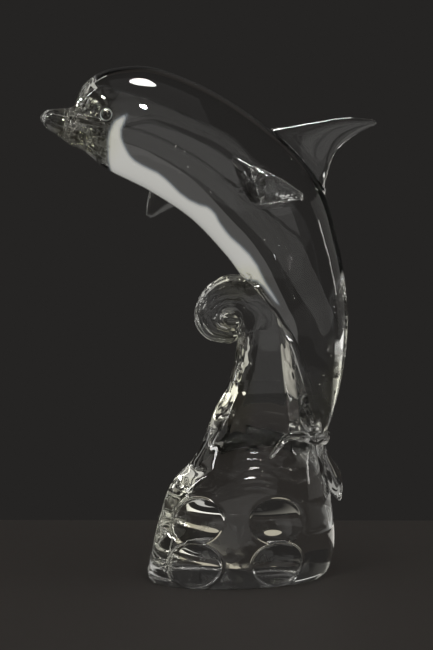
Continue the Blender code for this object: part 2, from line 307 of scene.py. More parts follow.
# the face: lines and places are x, z, heights and widths are in metres
faceSizes = {
    "eye": (-25.55, 90.18),
    "eyeRadius": 0.0038,
    "eyeGroove": 0.0009,
    "eyeGrooveWide": 0.0007,
    "eyeDome": 0.0007,
    "eyeDomeReach": 0.85,  # share of the eye's radius
    "ridge": ((-32.5, 90.0), (-26.7, 88.65)),  # over the mouth
    "ridgeHigh": 0.0017,
    "ridgeWide": 0.0015,
    "mouth": ((-36.8, 90.2), (-34.5, 89.6), (-32.3, 89.2), (-30.0, 88.6), (-28.2, 88.1), (-26.7, 87.8)),
    "mouthGroove": 0.0006,
    "mouthWide": 0.0010,
    "jaw": ((-26.5, 88.7), (-25.8, 87.2), (-25.6, 85.4), (-25.6, 83.5), (-25.5, 81.5), (-25.4, 79.4)),
    "jawGroove": 0.0004,
    "jawWide": 0.0009,
    "fromMiddle": (0.5, 1.5),  # where the relief starts and is full, away from the middle line
    # the cheek folds: a wave by its wavelength in mm and how much of x and of z it runs along, two that
    # bend it and one that fades it, with their heights first
    "crinkleAt": (-29.3, 87.4),
    "crinkleReach": (4.2, 4.2),
    "crinkleDeep": 0.00013,
    "crinkleFromEye": 0.001,
    "foldWave": (2.6, 0.8, -0.6),
    "bendWaves": ((1.1, 7.3, 1.0, 0.6), (0.9, 5.1, -0.4, 1.0)),
    "fadeWave": (0.4, 4.1, 0.3, 1.0),
}


# height of the face relief over the bare body, the same on both flanks but for the cheek folds: grooves
# are bell-shaped dips, the mouth's ridge a bell, the eye a ring groove round a low dome 1 - r squared,
# the cheek folds a product of two bent waves
def faceRelief(p, s):
    x, y, z = p[..., 0], p[..., 1], p[..., 2]
    fromEye = np.hypot(x - s["eye"][0] * share, z - s["eye"][1] * share)
    radius = s["eyeRadius"]
    rise = s["eyeDome"] * np.clip(1 - (fromEye / (s["eyeDomeReach"] * radius)) ** 2, 0, 1)
    rise -= s["eyeGroove"] * bell(fromEye - radius, s["eyeGrooveWide"])
    rise -= s["mouthGroove"] * bell(farFrom(x, z, s["mouth"]), s["mouthWide"])
    ridge = bell(farFrom(x, z, s["ridge"]), s["ridgeWide"])
    rise += s["ridgeHigh"] * ridge
    rise -= s["jawGroove"] * bell(farFrom(x, z, s["jaw"]), s["jawWide"])
    patch = patchOver(x, z, s["crinkleAt"], s["crinkleReach"])
    patch = patch * ramp(fromEye, radius, radius + s["crinkleFromEye"]) * (1 - ridge) * (y < 0)
    bend = sum(high * swing(alongX * x + alongZ * z, long) for high, long, alongX, alongZ in s["bendWaves"])
    long, alongX, alongZ = s["foldWave"]
    folds = swing(alongX * x + alongZ * z, long, bend)
    fade, long, alongX, alongZ = s["fadeWave"]
    folds = folds * (1 - fade + fade * swing(alongX * x + alongZ * z, long, bend))
    return (rise + s["crinkleDeep"] * patch * folds) * ramp(np.abs(y) / share, *s["fromMiddle"])


# the body's rings, closer together on the head by 1 + fineness e to the minus fourth power of the way,
# its sides closer together on the flanks by a sine, moved outward by the face relief
def dolphinBody(s):
    head = lambda travel: 1 + (s["headFineness"] - 1) * np.exp(-((travel / s["headReach"]) ** 4))
    rings = bodyRings(readCurve(s["body"], s["bodyRings"], head))
    rings = dome(rings, s["beakTip"], s["bodyDomes"], first=True)
    rings = dome(rings, s["tailEnd"], s["bodyDomes"])
    turns = evenTurns(s["bodySides"])
    grid = ringPoints(rings, turns + s["flankFineness"] * np.sin(2 * turns))
    out = unit(grid - rings[0][:, None])
    grid = grid + out * faceRelief(grid, faceSizes)[..., None]
    return closedSkin("dolphinGlass", grid)


# a fin's blunt rings, carried on as a dome past its tip
def dolphinFin(name, s):
    rings = dome(finRings(readCurve(s[name], s["finRings"])), s["finTip"], s["finDomes"])
    return closedSkin(name, ringPoints(rings, evenTurns(s["finSides"]), s["finBlunt"]))


# the white belly sealed under the glass
bellySizes = {
    "firstRow": 8,  # rows of the body outline that it spans
    "lastRow": 19,
    "rings": 150,
    "sides": 130,
    "turnReach": 1.95,  # radians each way from the belly line
    "under": 0.0016,  # clear glass over it
    "thick": 0.0009,
    "softEdge": 0.0032,
    "edgeWhite": 0.35,  # how white it is on the edge line itself
    "farLess": 0.4,  # how fast it draws back past the belly's middle line
    # its edge on either flank, x, z: up the front, over the horn, back along the upper edge, round the
    # tongue at the tail end and back beneath the belly
    "edge": (
        (-25.0, 74.0), (-25.1, 79.9), (-25.3, 81.6), (-25.3, 83.5), (-25.2, 85.4), (-24.9, 86.9),
        (-24.3, 88.3), (-23.8, 89.0), (-22.6, 89.7), (-21.5, 90.2), (-21.8, 89.2), (-22.2, 88.2),
        (-22.6, 87.3), (-22.6, 85.9), (-22.2, 84.8), (-21.6, 83.5), (-21.0, 82.5), (-20.1, 81.6),
        (-18.8, 80.8), (-17.2, 80.0), (-15.7, 79.3), (-14.4, 78.3), (-13.4, 77.4), (-11.5, 75.5),
        (-9.6, 74.1), (-7.7, 73.2), (-6.3, 72.8), (-5.4, 72.2), (-4.6, 71.3), (-3.9, 69.9),
        (-2.7, 68.2), (-1.6, 66.9), (0.0, 65.5), (1.9, 63.6), (3.4, 61.5), (4.2, 59.8),
        (5.0, 58.2), (6.2, 56.3), (7.0, 55.0), (7.6, 53.9), (6.9, 54.4), (5.8, 55.8), (4.5, 57.4),
        (3.3, 58.4), (1.0, 58.8), (-2.0, 59.2), (-16.0, 60.0),
    ),
}


# a sheet that follows the body's rings a little under the skin; how white it is falls from
# one to nothing across its soft edge, and what would be quite clear is left out
def whiteBelly(s, body):
    rows = readCurve(body["body"][s["firstRow"] : s["lastRow"]], s["rings"])
    middle, a, b = bodyRings(rows)
    a, b = [half * (1 - s["under"] / np.linalg.norm(half, axis=1, keepdims=True)) for half in (a, b)]
    turns = np.pi + np.linspace(-1, 1, s["sides"]) * s["turnReach"]
    grid = ringPoints((middle, a, b), turns)
    x, z = grid[..., 0], grid[..., 2]
    depth = farFrom(x, z, s["edge"]) * np.where(insideOf(x, z, s["edge"]), 1, -1)
    depth = depth - s["farLess"] * np.clip(grid[..., 1], 0, None)
    white = eased(np.clip(depth / s["softEdge"] + s["edgeWhite"], 0, 1))
    n, m = white.shape
    index = np.arange(n * m).reshape(n, m)
    quads = [index[:-1, :-1], index[:-1, 1:], index[1:, 1:], index[1:, :-1]]
    quads = np.stack(quads, axis=-1).reshape(-1, 4)
    quads = quads[white.ravel()[quads].max(axis=1) > 0]
    used, renumbered = np.unique(quads, return_inverse=True)
    points = grid.reshape(-1, 3)[used]
    faces = renumbered.reshape(-1, 4)
    p = points[faces]
    normal = np.cross(p[:, 1] - p[:, 0], p[:, 3] - p[:, 0])
    spine = np.repeat(middle[:, None], m, axis=1).reshape(-1, 3)[used][faces].mean(axis=1)
    if (normal * (p.mean(axis=1) - spine)).sum() < 0:
        faces = faces[:, ::-1]
    piece = newPiece("whiteBelly", points, faces.tolist())
    mark = piece.data.attributes.new("whiteness", "FLOAT", "POINT")
    mark.data.foreach_set("value", white.ravel()[used].astype(np.float32))
    wall = piece.modifiers.new("thickness", "SOLIDIFY")
    wall.thickness = s["thick"]
    wall.offset = -1.0
    # the inner face takes the second material, the greyer copy with painted shade
    wall.material_offset = 1
    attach(piece, "root")
    return piece


belly = whiteBelly(bellySizes, dolphinSizes)
print("white belly made")


# the wave
waveSizes = {
    # front x, z, back x, z, half depth
    "outline": (
        (-17.3, 0.0, 16.1, 0.0, 14.5), (-18.0, 1.2, 17.3, 1.2, 15.1),
        (-17.5, 4.9, 18.4, 5.4, 15.3), (-16.5, 9.3, 18.5, 9.3, 15.1),
        (-15.5, 13.0, 18.1, 13.3, 14.5), (-14.1, 17.4, 17.6, 17.6, 13.8),
        (-12.2, 20.3, 16.9, 20.8, 12.8), (-9.6, 22.9, 16.3, 23.7, 11.4),
        (-7.8, 25.8, 15.8, 26.7, 9.9), (-6.5, 29.0, 15.2, 29.8, 8.5),
        (-5.1, 32.9, 14.1, 33.7, 7.2), (-2.8, 36.8, 12.7, 37.6, 6.1),
        (-1.4, 41.2, 11.3, 42.3, 5.4), (-0.8, 45.1, 10.2, 46.7, 5.0),
        (-0.5, 47.6, 9.0, 51.0, 4.8), (-0.4, 49.6, 7.7, 54.5, 4.6),
        (-0.7, 50.9, 5.7, 57.7, 4.3), (-1.6, 51.5, 3.2, 59.5, 3.9),
        (-2.15, 51.65, 0.4, 59.4, 3.7), (-2.5, 51.65, -2.8, 59.2, 3.5),
        (-2.8, 51.55, -5.8, 57.6, 3.3), (-3.0, 51.35, -7.8, 55.1, 3.1),
        (-3.1, 51.05, -8.9, 52.1, 3.0), (-3.05, 50.75, -8.4, 49.2, 2.8),
        (-2.9, 50.5, -6.5, 47.0, 2.6), (-2.6, 50.3, -3.9, 46.2, 2.3),
    ),
    "rings": 250,
    "sides": 240,
    "footFineness": 1.55,  # how much closer the rings lie on the foot
    "footReach": 0.38,  # share of the wave's length
    "nearFineness": 0.45,  # how much closer the sides lie on the near side
    "halveAt": 31.0,  # height past which every second side is dropped
    "footSkew": 0.22,
    "skewTop": 30.0,
    "curlTip": 0.006,
    "curlDomes": 6,
    # x, z, radius of the curl's rounded end and of the bead that closes its middle
    "balls": ((-2.3, 48.0, 2.05), (-1.75, 50.5, 1.95)),
    "ballShape": (84, 25, 40),  # last latitude in degrees, rings, sides
    # thumb prints, lower and upper row: height and the turns round the foot of the two in each
    "dimpleRows": ((4.4, (-110, -56)), (12.8, (-117, -63))),
    "footRows": 12,  # rows of the outline that are the foot
    "footReads": 400,
    "dimpleWide": 0.037,
    "dimpleTall": 0.029,
    "dimpleDeep": 0.0052,
    "dimpleEase": 0.02,  # share of the depth over which the bowl eases into its edge
    "dimpleNear": 0.03,  # how far from the print's place the foot is pressed, metres
    "lipHigh": 0.0003,
    "lipAt": 1.07,  # in half sizes of the print, as its width
    "lipWide": 0.06,
    # the stem's face, z, x: where it turns away on the left, on the right, and where it levels again
    "turnLeft": (
        (20.0, -6.0), (27.0, -3.0), (33.0, -0.6), (36.5, 1.3), (41.5, 2.9), (48.5, 4.1), (53.0, 4.4),
    ),
    "turnRight": ((20.0, 9.9), (27.0, 9.9), (32.4, 9.2), (42.1, 8.1), (49.5, 7.4), (53.3, 6.2)),
    "turnEnd": ((20.0, 12.4), (27.0, 11.4), (37.3, 11.0), (42.0, 10.2), (49.1, 8.9), (53.3, 7.4)),
    "flatFrom": (20.0, 36.0),  # heights between which the stem takes this section
    "flatTo": (48.0, 55.0),  # and loses it
    "flatPast": (0.5, 1.5),  # x of the rings' middles between which it takes it
    "flatDeep": 0.86,
    "endDeep": 0.56,
    "leastNose": 0.1,
    "rim": ((-0.3, 41.0), (-0.7, 36.8), (-1.2, 33.5), (-3.2, 30.0), (-5.8, 27.1), (-8.4, 23.0)),
    "rimBranch": ((-1.2, 33.5), (0.4, 30.8), (2.4, 28.0)),
    "rimHigh": 0.0008,
    "rimWide": 0.0028,
    "nearSide": 0.006,  # how far out on the near side its relief is full, metres
    "rippleAt": (2.9, 22.4),
    "rippleReach": (3.4, 3.8),
    "rippleBow": 22.0,  # how far the ripples bend down to the sides, per metre
    "rippleHigh": 0.00042,
    "rippleWave": 5.0,  # wavelength in mm
    "rippleDrift": (0.9, 17.0),  # height and wavelength in mm
    # cords drawn up the stem and round the curl: how many waves go round a ring in each of three sets,
    # the height of each set and how far it follows the drift, which is waves along the height
    "cordHigh": 0.00016,
    "stemCords": (13, 21, 29),
    "curlCords": (7, 11, 17),
    "cordSets": ((1.0, 1.0), (0.8, -1.3), (0.6, 2.0)),
    "cordDrift": ((1.6, 47.0, 0.0), (0.9, 21.0, 1.0)),  # height, wavelength in mm, lead
    "curlCordsMore": 2.0,  # how much higher they are on the curl
    "cordsFrom": (30.0, 36.0),  # heights between which they start on the stem
    "cordsTo": (48.0, 52.0),  # and end
    "cordsBeside": 1.2,  # how far past the stem's bends they are full
    "curlFrom": (46.0, 49.0),  # heights between which the curl starts
    "curlBefore": (-0.5, 1.5),  # how far in front of x = 0 it starts and is full
}


# place, sideways direction and outward direction of each thumb print on the foot, and whether
# it is in the upper row: a point of the skewed ellipse at its height, and the slope there
def printFrames(s):
    foot = readCurve(s["outline"][: s["footRows"]], s["footReads"]) * share
    frames = []
    for row, (at, turns) in enumerate(s["dimpleRows"]):
        z = at * share
        front, back, depth = [np.interp(z, foot[:, 1], foot[:, k]) for k in (0, 2, 4)]
        middle, half = (front + back) / 2, (back - front) / 2
        lean = s["footSkew"] * max(0.0, 1 - at / s["skewTop"])
        wide = half / np.sqrt(1 + lean**2)
        for turn in np.radians(turns):
            c, d = np.cos(turn), np.sin(turn)
            place = np.array([middle + wide * c + half * lean * d, depth * d, z])
            tangent = unit(np.array([half * lean * c - wide * d, depth * c, 0.0]))
            frames.append((place, tangent, np.array([tangent[1], -tangent[0], 0.0]), row > 0))
    return frames


# how deep the thumb prints press at each point of the foot: a bowl, deep (1 - r squared) inside
# its edge and eased to nothing there, with a bell for a low lip round it
def thumbPrints(points, s):
    press = np.zeros(points.shape[:-1])
    ease = s["dimpleEase"]
    for place, tangent, outward, upper in printFrames(s):
        away = points - place
        side = away @ tangent / (s["dimpleWide"] / 2)
        rise = away[..., 2] / (s["dimpleTall"] / 2)
        r = np.sqrt(side**2 + rise**2)
        bowl = np.clip(1 + ease - r**2, 0, None)
        bowl = np.where(bowl > 2 * ease, bowl - ease, bowl**2 / (4 * ease)) * s["dimpleDeep"]
        near = np.abs(away @ outward) < s["dimpleNear"]
        press = np.where(near, np.maximum(press, bowl), press)
        press = press - np.where(near, bell(r - s["lipAt"], s["lipWide"]) * s["lipHigh"], 0)
    return press


# sets of waves round the rings, each a sine of so many turns plus its share of the drift
def ringWaves(turns, counts, drift, s):
    sets = zip(counts, s["cordSets"])
    return sum(high * np.sin(count * turns + follow * drift) for count, (high, follow) in sets)


# low forms of the wave's skin, from bells round bent lines and bent waves: the raised rim and its
# branch on the near side, ripples under the tail, and long shallow cords drawn up the stem
# and round the curl
def waveRelief(p, turns, s):
    x, y, z = p[..., 0], p[..., 1], p[..., 2]
    near = ramp(-y, 0.0, s["nearSide"])
    rim, branch = [bell(farFrom(x, z, s[line]), s["rimWide"]) for line in ("rim", "rimBranch")]
    rise = s["rimHigh"] * np.maximum(rim, branch) * near
    bowed = z + s["rippleBow"] * (x - s["rippleAt"][0] * share) ** 2
    high, long = s["rippleDrift"]
    ripple = swing(bowed, s["rippleWave"], high * swing(z, long))
    rise = rise + s["rippleHigh"] * ripple * patchOver(x, z, s["rippleAt"], s["rippleReach"]) * near
    drift = sum(high * swing(z, long, lead) for high, long, lead in s["cordDrift"])
    across, level = x / share, z / share
    left, right = [np.interp(level, *np.array(s[name]).T) for name in ("turnLeft", "turnRight")]
    turned = ramp(left - across, 0, s["cordsBeside"]) + ramp(across - right, 0, s["cordsBeside"])
    curl = ramp(level, *s["curlFrom"]) * ramp(-across, *s["curlBefore"])
    up = ramp(level, *s["cordsFrom"]) * (1 - ramp(level, *s["cordsTo"])) * turned
    cords = ringWaves(turns, s["stemCords"], drift, s) * up * (1 - curl)
    arcs = ringWaves(turns, s["curlCords"], drift, s) * curl * s["curlCordsMore"]
    return rise + s["cordHigh"] * (cords + arcs)


# the stem's rings flattened on the near and far side: a level face between two bends, falling
# from the first bend as the square root of the way to the front edge, straight to a lower level on
# the right, and from there as a square root to the back edge
def stemSection(grid, rings, turns, s):
    x, z = grid[..., 0] / share, grid[..., 2] / share
    across, level = rings[0][:, :1] / share, rings[0][:, 2:3] / share
    part = eased(ramp(level, *s["flatFrom"]) * (1 - ramp(level, *s["flatTo"])))
    part = part * ramp(across, *s["flatPast"])
    left, right, end = [np.interp(z, *np.array(s[name]).T) for name in ("turnLeft", "turnRight", "turnEnd")]
    front, back = x.min(axis=1, keepdims=True), x.max(axis=1, keepdims=True)
    leftNose = np.sqrt(np.clip((x - front) / np.maximum(left - front, s["leastNose"]), 0, 1))
    rightNose = np.sqrt(np.clip((back - x) / np.maximum(back - end, s["leastNose"]), 0, 1))
    slope = 1 - (1 - s["endDeep"]) * ramp(x, right, end)
    flat = s["flatDeep"] * leftNose * slope * rightNose
    depth = np.linalg.norm(rings[2], axis=1, keepdims=True)
    side = np.sign(np.sin(turns))[None]
    grid[..., 1] = grid[..., 1] * (1 - part) + side * flat * depth * part
    return grid


# the wave's rings, closer together on the foot and its sides on the near side, given the stem's
# section and moved along their normals by the relief less the thumb prints
def waveSkin(s):
    closer = lambda travel: np.where(travel < s["footReach"], s["footFineness"], 1.0)
    middle, a, b = bodyRings(readCurve(s["outline"], s["rings"], closer), s["footSkew"], s["skewTop"])
    rings = dome([middle, -a, b], s["curlTip"], s["curlDomes"])
    turns = evenTurns(s["sides"])
    turns = turns - s["nearFineness"] * np.cos(turns)
    grid = stemSection(ringPoints(rings, turns), rings, turns, s)
    out = unit(np.cross(np.roll(grid, -1, 1) - np.roll(grid, 1, 1), np.gradient(grid, axis=0)))
    if ((grid - rings[0][:, None]) * out).sum() < 0:
        out = -out
    grid = grid + out * (waveRelief(grid, turns, s) - thumbPrints(grid, s))[..., None]
    grid[0, :, 2] = 0.0
    halve = int(np.argmax(rings[0][:, 2] > s["halveAt"] * share))
    return closedSkin("waveGlass", grid, halve)


# joins closed skins into the first one and deletes the rest; edges past sharpFrom degrees stay sharp
def fuse(piece, others, sharpFrom=50):
    for other in others:
        step = piece.modifiers.new(other.name, "BOOLEAN")
        step.operation = "UNION"
        step.solver = "MANIFOLD"
        step.object = other
    graph = bpy.context.evaluated_depsgraph_get()
    mesh = bpy.data.meshes.new_from_object(piece.evaluated_get(graph))
    piece.modifiers.clear()
    piece.data = mesh
    for other in others:
        bpy.data.objects.remove(other)
    mesh.shade_smooth()
    mesh.set_sharp_from_angle(angle=np.radians(sharpFrom))
    return piece


glass = dolphinBody(dolphinSizes)
fins = [dolphinFin(name, dolphinSizes) for name in dolphinSizes["fins"]]
wave = waveSkin(waveSizes)
balls = [
    ballSkin("curlBall", (x * share, 0, z * share), radius * share, *waveSizes["ballShape"])
    for x, z, radius in waveSizes["balls"]
]
glass = fuse(glass, fins + [wave] + balls)
glass.name = "glassSculpture"
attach(glass, "root")
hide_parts("dolphin", "wave")
print("glass:", sum(len(p.vertices) - 2 for p in glass.data.polygons), "triangles")


# bubbles sealed in the glass
bubbleSizes = {
    # x, z, y in metres and radius in metres
    "places": (
        (-10.5, 83.4, -0.022, 0.0006), (-9.7, 80.7, -0.020, 0.0007), (-11.2, 80.0, -0.015, 0.0005),
        (-12.2, 84.3, -0.018, 0.0005), (-5.1, 76.0, -0.016, 0.0005), (4.9, 66.8, -0.018, 0.0006),
        (17.3, 43.9, -0.008, 0.0005), (16.1, 40.1, -0.007, 0.0006), (15.5, 38.3, -0.006, 0.0005),
    ),
    "shape": (68, 7, 12),  # last latitude in degrees, rings, sides
}


# small closed balls at their places, all joined in one piece
def airBubbles(s):
    balls = [ballSkin("bubble", (x * share, y, z * share), r, *s["shape"]) for x, z, y, r in s["places"]]
    bpy.context.view_layer.update()
    with bpy.context.temp_override(active_object=balls[0], selected_editable_objects=balls):
        bpy.ops.object.join()
    piece = balls[0]
    piece.name = "airBubbles"
    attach(piece, "root")
    return piece


bubbles = airBubbles(bubbleSizes)
print("bubbles made")


# the finishes


# links a wire to a socket, or sets the socket to a plain value
def feed(tree, socket, term):
    if isinstance(term, Wire):
        tree.links.new(term.socket, socket)
    elif term is not None:
        socket.default_value = term


# a socket whose sums, products and differences add their own nodes
class Wire:
    def __init__(self, tree, socket):
        self.tree, self.socket = tree, socket

    # a Math node on this and the other, or on the other and this where flipped
    def math(self, kind, other=None, flip=False):
        node = self.tree.nodes.new("ShaderNodeMath")
        node.operation = kind
        terms = [self, other][::-1] if flip else [self, other]
        for slot, term in zip(node.inputs, terms):
            feed(self.tree, slot, term)
        return Wire(self.tree, node.outputs[0])

    def __add__(self, other):
        return self.math("ADD", other)

    def __mul__(self, other):
        return self.math("MULTIPLY", other)

    def __sub__(self, other):
        return self.math("SUBTRACT", other)

    def __rsub__(self, other):
        return self.math("SUBTRACT", other, flip=True)

    __radd__, __rmul__ = __add__, __mul__

    # the greater of this and low, but at most high
    def clamp(self, low, high):
        return self.math("MAXIMUM", low).math("MINIMUM", high)

    # one where this is nothing, e to the minus square of it over the width elsewhere
    def bell(self, wide):
        off = self * (1 / wide)
        return (off * off * -1.0).math("EXPONENT")


# a material in the making: its nodes and its shader
class Finish:
    def __init__(self, name):
        self.material = bpy.data.materials.new(name)
        self.material.use_nodes = True
        self.tree = self.material.node_tree
        self.shader = self.tree.nodes["Principled BSDF"]

    # a node of this type: settings first, then its sockets by name or, in slots, by number
    def node(self, kind, settings=None, out=0, slots=None, **sockets):
        node = self.tree.nodes.new("ShaderNode" + kind)
        for key, value in (settings or {}).items():
            if key == "stops":
                for stop, (place, colour) in zip(node.color_ramp.elements, value):
                    stop.position, stop.color = place, colour
            else:
                setattr(node, key, value)
        for key, value in (slots or sockets).items():
            feed(self.tree, node.inputs[key], value)
        return Wire(self.tree, node.outputs[out])

    # the object's own coordinates
    def place(self):
        return self.node("TexCoord", out="Object")

    # soft noise between nothing and one
    def noise(self, where, scale, detail, roughness=0.5, distortion=0.0):
        return self.node(
            "TexNoise", Vector=where, Scale=scale, Detail=detail, Roughness=roughness, Distortion=distortion
        )

    # a Vector Math node: a number where the operation gives one, or else a vector
    def vector(self, kind, one, other=None):
        out = "Value" if kind in ("DOT_PRODUCT", "LENGTH") else "Vector"
        return self.node("VectorMath", {"operation": kind}, out, {0: one, 1: other})

    # the sum of the products of the parts of two vectors
    def dot(self, one, other):
        return self.vector("DOT_PRODUCT", one, other)

    # from one colour to the other as amount goes from nothing to one
    def blend(self, amount, one, other):
        return self.node("Mix", {"data_type": "RGBA"}, 2, {0: amount, 6: one, 7: other})

    # one in the middle of an ellipse across x and z, 1 - r squared, nothing outside
    def oval(self, where, x, z, wide, tall):
        away = self.vector("SUBTRACT", where, (x * share, 0.0, z * share))
        side = self.dot(away, (1 / (wide * share), 0.0, 0.0))
        rise = self.dot(away, (0.0, 0.0, 1 / (tall * share)))
        return (1.0 - side * side - rise * rise).math("MAXIMUM", 0.0)

    # values or links for the shader's sockets
    def give(self, **values):
        for key, value in values.items():
            feed(self.tree, self.shader.inputs[key.replace("_", " ")], value)
        return self.material


# clear glass; heights of its bumps are in mm, lengths in metres, places and half sizes x, z
glassLook = {
    "clear": (0.985, 0.99, 0.985, 1),
    "olive": (0.90, 0.90, 0.76, 1),
    "paintedShade": (0.10, 0.10, 0.07, 1),
    "refraction": 1.5,
    "swells": (26.0, 1.0, 0.4),  # noise scale, detail, roughness
    "swellsHigh": 0.08,
    "cords": (90.0, 2.0, 0.5),
    "cordsHigh": 0.02,
    # the crisp line round each thumb print
    "printRim": 1.0,
    "printRimWide": 0.055,  # share of the print's half size
    "printRimDeep": 0.02,
    "upperRimFrom": -0.35,  # upper prints: height where the line starts, in half sizes of the print
    # the fine line round each eye, and the painted shade that darkens its middle
    "eyeLine": -0.3,
    "eyeLineWide": 0.16,  # share of the eye's radius
    "eyeLineDull": 0.35,
    "eyeShadeReach": 0.86,
    "eyeShadeSharp": 8.0,
    "eyeShadeMost": 0.9,
    # fine folds: centre, half sizes, how far out on the near side they start, height, fineness and how dark
    # the painted shade between them is
    "creases": {
        "nearFin": (6.0, 76.5, 6.8, 4.4, 0.034, 2.3, 115.0, 0.35),
        "crest": (0.6, 58.3, 3.6, 1.8, 0.003, 1.3, 170.0, 0.5),
        "cheek": (-29.3, 84.4, 4.6, 4.0, 0.004, 0.9, 210.0, 1.0),
        "brow": (-30.4, 92.2, 2.7, 1.7, 0.004, 0.7, 210.0, 1.0),
        "tail": (18.3, 34.0, 3.2, 7.0, -0.02, 0.3, 55.0, 0.0),
    },
    "creaseEdge": 0.4,  # share of the patch over which they fade in from its edge
    "creaseComesIn": 0.004,
    "creaseNoise": (1.5, 0.5, 1.2),  # detail, roughness, distortion
    "foldShadeSharp": 12.0,
    # softer patches
    "frosted": {
        "tail": (18.9, 38.0, 3.6, 10.0),
        "heel": (-1.6, 4.6, 3.6, 4.6),
    },
    "frostNoise": (110.0, 2.0),
    "frostFrom": 0.42,
    "frostSharp": 3.0,
    "frostMost": 0.30,
    # places where the thick glass shows its own olive tint
    "tinted": {
        "face": (-29.5, 87.0, 8.0, 8.5),
        "crest": (0.5, 58.0, 6.0, 4.0),
        "leftRope": (-2.0, 38.0, 5.5, 16.0),
        "footFront": (-14.0, 14.0, 6.5, 13.0),
        "tail": (19.0, 35.0, 4.0, 11.0),
    },
    "tintSharp": 1.6,
}


# height of the lines round the thumb prints: a bell where the elliptical radius passes one, faded
# by 1 - d squared off the skin, and on the upper prints also below their middle
def printRims(f, where, look, s):
    lines = 0.0
    for place, tangent, outward, upper in printFrames(s):
        away = f.vector("SUBTRACT", where, tuple(place))
        side = f.dot(away, tuple(tangent * 2 / s["dimpleWide"]))
        rise = f.dot(away, (0.0, 0.0, 2 / s["dimpleTall"]))
        deep = f.dot(away, tuple(outward / look["printRimDeep"]))
        r = (side * side + rise * rise).math("SQRT")
        rim = (r - 1.0).bell(look["printRimWide"]) * (1.0 - deep * deep).math("MAXIMUM", 0.0)
        if upper:
            rim = rim * (rise - look["upperRimFrom"]).clamp(0.0, 1.0)
        lines = rim * look["printRim"] + lines
    return lines


# height of the fine folds, noise in patches, and how dark the painted shade in their hollows is: what of
# the noise lies below its middle, sharpened
def fineFolds(f, where, look):
    rise, foldShade, edge = 0.0, 0.0, look["creaseEdge"]
    detail, roughness, distortion = look["creaseNoise"]
    for x, z, wide, tall, outer, high, fine, dark in look["creases"].values():
        out = f.dot(where, (0.0, -1 / look["creaseComesIn"], 0.0)) - outer / look["creaseComesIn"]
        mask = f.oval(where, x, z, wide, tall).math("MINIMUM", edge) * (1 / edge) * out.clamp(0.0, 1.0)
        folds = f.noise(where, fine, detail, roughness, distortion)
        rise = folds * mask * high + rise
        if dark:
            foldShade = ((0.5 - folds) * (look["foldShadeSharp"] * dark) * mask).math("MAXIMUM", foldShade)
    return rise, foldShade.math("MINIMUM", 1.0)


# faint swells all over, the lines round prints and eyes and the fine folds as bumps; tinted, darkened with
# painted shade in the folds' hollows and the eye's middle, and softened in patches
def clearGlass(look, s, face):
    f = Finish("clearGlass")
    where = f.place()
    swells = f.noise(where, *look["swells"]) * look["swellsHigh"]
    cords = f.noise(where, *look["cords"]) * look["cordsHigh"]
    folds, foldShade = fineFolds(f, where, look)
    bumps = swells + cords + printRims(f, where, look, s) + folds
    eye = (face["eye"][0] * share, 0.0, face["eye"][1] * share)
    fromEye = f.vector("MULTIPLY", f.vector("SUBTRACT", where, eye), (1.0, 0.0, 1.0))
    r = f.vector("LENGTH", fromEye) * (1 / face["eyeRadius"])
    eyeLine = (r - 1.0).bell(look["eyeLineWide"])
    bumps = bumps + eyeLine * look["eyeLine"]
    # painted shade: the middle of the eye is darkened in the base colour
    eyeShade = ((look["eyeShadeReach"] - r) * look["eyeShadeSharp"]).clamp(0.0, look["eyeShadeMost"])
    rough = eyeLine * look["eyeLineDull"]
    clouds = (f.noise(where, *look["frostNoise"]) - look["frostFrom"]) * look["frostSharp"]
    for patch in look["frosted"].values():
        frost = (f.oval(where, *patch) * clouds).math("MINIMUM", look["frostMost"])
        rough = frost.math("MAXIMUM", rough)
    tint = 0.0
    for patch in look["tinted"].values():
        tint = (f.oval(where, *patch) * look["tintSharp"]).math("MAXIMUM", tint)
    colour = f.blend(tint.math("MINIMUM", 1.0), look["clear"], look["olive"])
    # painted shade in the folds' hollows and the eye's middle, by the base colour
    colour = f.blend(foldShade.math("MAXIMUM", eyeShade), colour, look["paintedShade"])
    normal = f.node("Bump", Height=bumps, Strength=1.0, Distance=0.001)
    f.give(Base_Color=colour, Roughness=rough, Normal=normal)
    return f.give(Metallic=0.0, IOR=look["refraction"], Transmission_Weight=1.0)


# white glass: colours where it thins out and where it is full, and its glow, which is painted light; the
# face turned to the body's inside is a greyer copy of it, painted shade without the glow
milkyLook = {
    "whiteGlass": ((0.72, 0.80, 0.88, 1), (0.88, 0.87, 0.82, 1), 0.56),
    "whiteGlassPaintedShade": ((0.20, 0.23, 0.26, 1), (0.24, 0.24, 0.22, 1), 0.0),
}
milkySizes = {
    "clouds": (55.0, 3.0),  # noise scale, detail
    "inTone": 0.2,
    "inRoughness": 0.1,
    "leastRoughness": 0.32,
    "thinAt": 0.1,  # whiteness of each colour
    "fullAt": 0.8,
    "refraction": 1.1,
}


# milky glass, as clear as its whiteness is low, its tone and gloss drifting with a soft noise
def whiteGlass(name, thin, full, paintedGlow, s):
    f = Finish(name)
    whiteness = f.node("Attribute", {"attribute_name": "whiteness"}, out="Fac")
    cloud = f.noise(f.place(), *s["clouds"])
    stops = ((s["thinAt"], thin), (s["fullAt"], full))
    tone = f.node("ValToRGB", {"stops": stops}, Fac=whiteness + (cloud - 0.5) * s["inTone"])
    rough = cloud * s["inRoughness"] + s["leastRoughness"]
    f.give(Base_Color=tone, Roughness=rough, Alpha=whiteness, IOR=s["refraction"])
    # painted light: the white glass glows in its own tone
    return f.give(Emission_Color=tone, Emission_Strength=paintedGlow)


bubbleLook = {"colour": (0.9, 0.9, 0.88, 1), "clouds": (300.0, 1.0), "dullness": 0.1}


# the skin of an air bubble, which throws back what is around it, a little duller in places
def silveryAir(name, look):
    f = Finish(name)
    cloud = f.noise(f.place(), *look["clouds"])
    return f.give(Base_Color=look["colour"], Metallic=1.0, Roughness=cloud * look["dullness"])


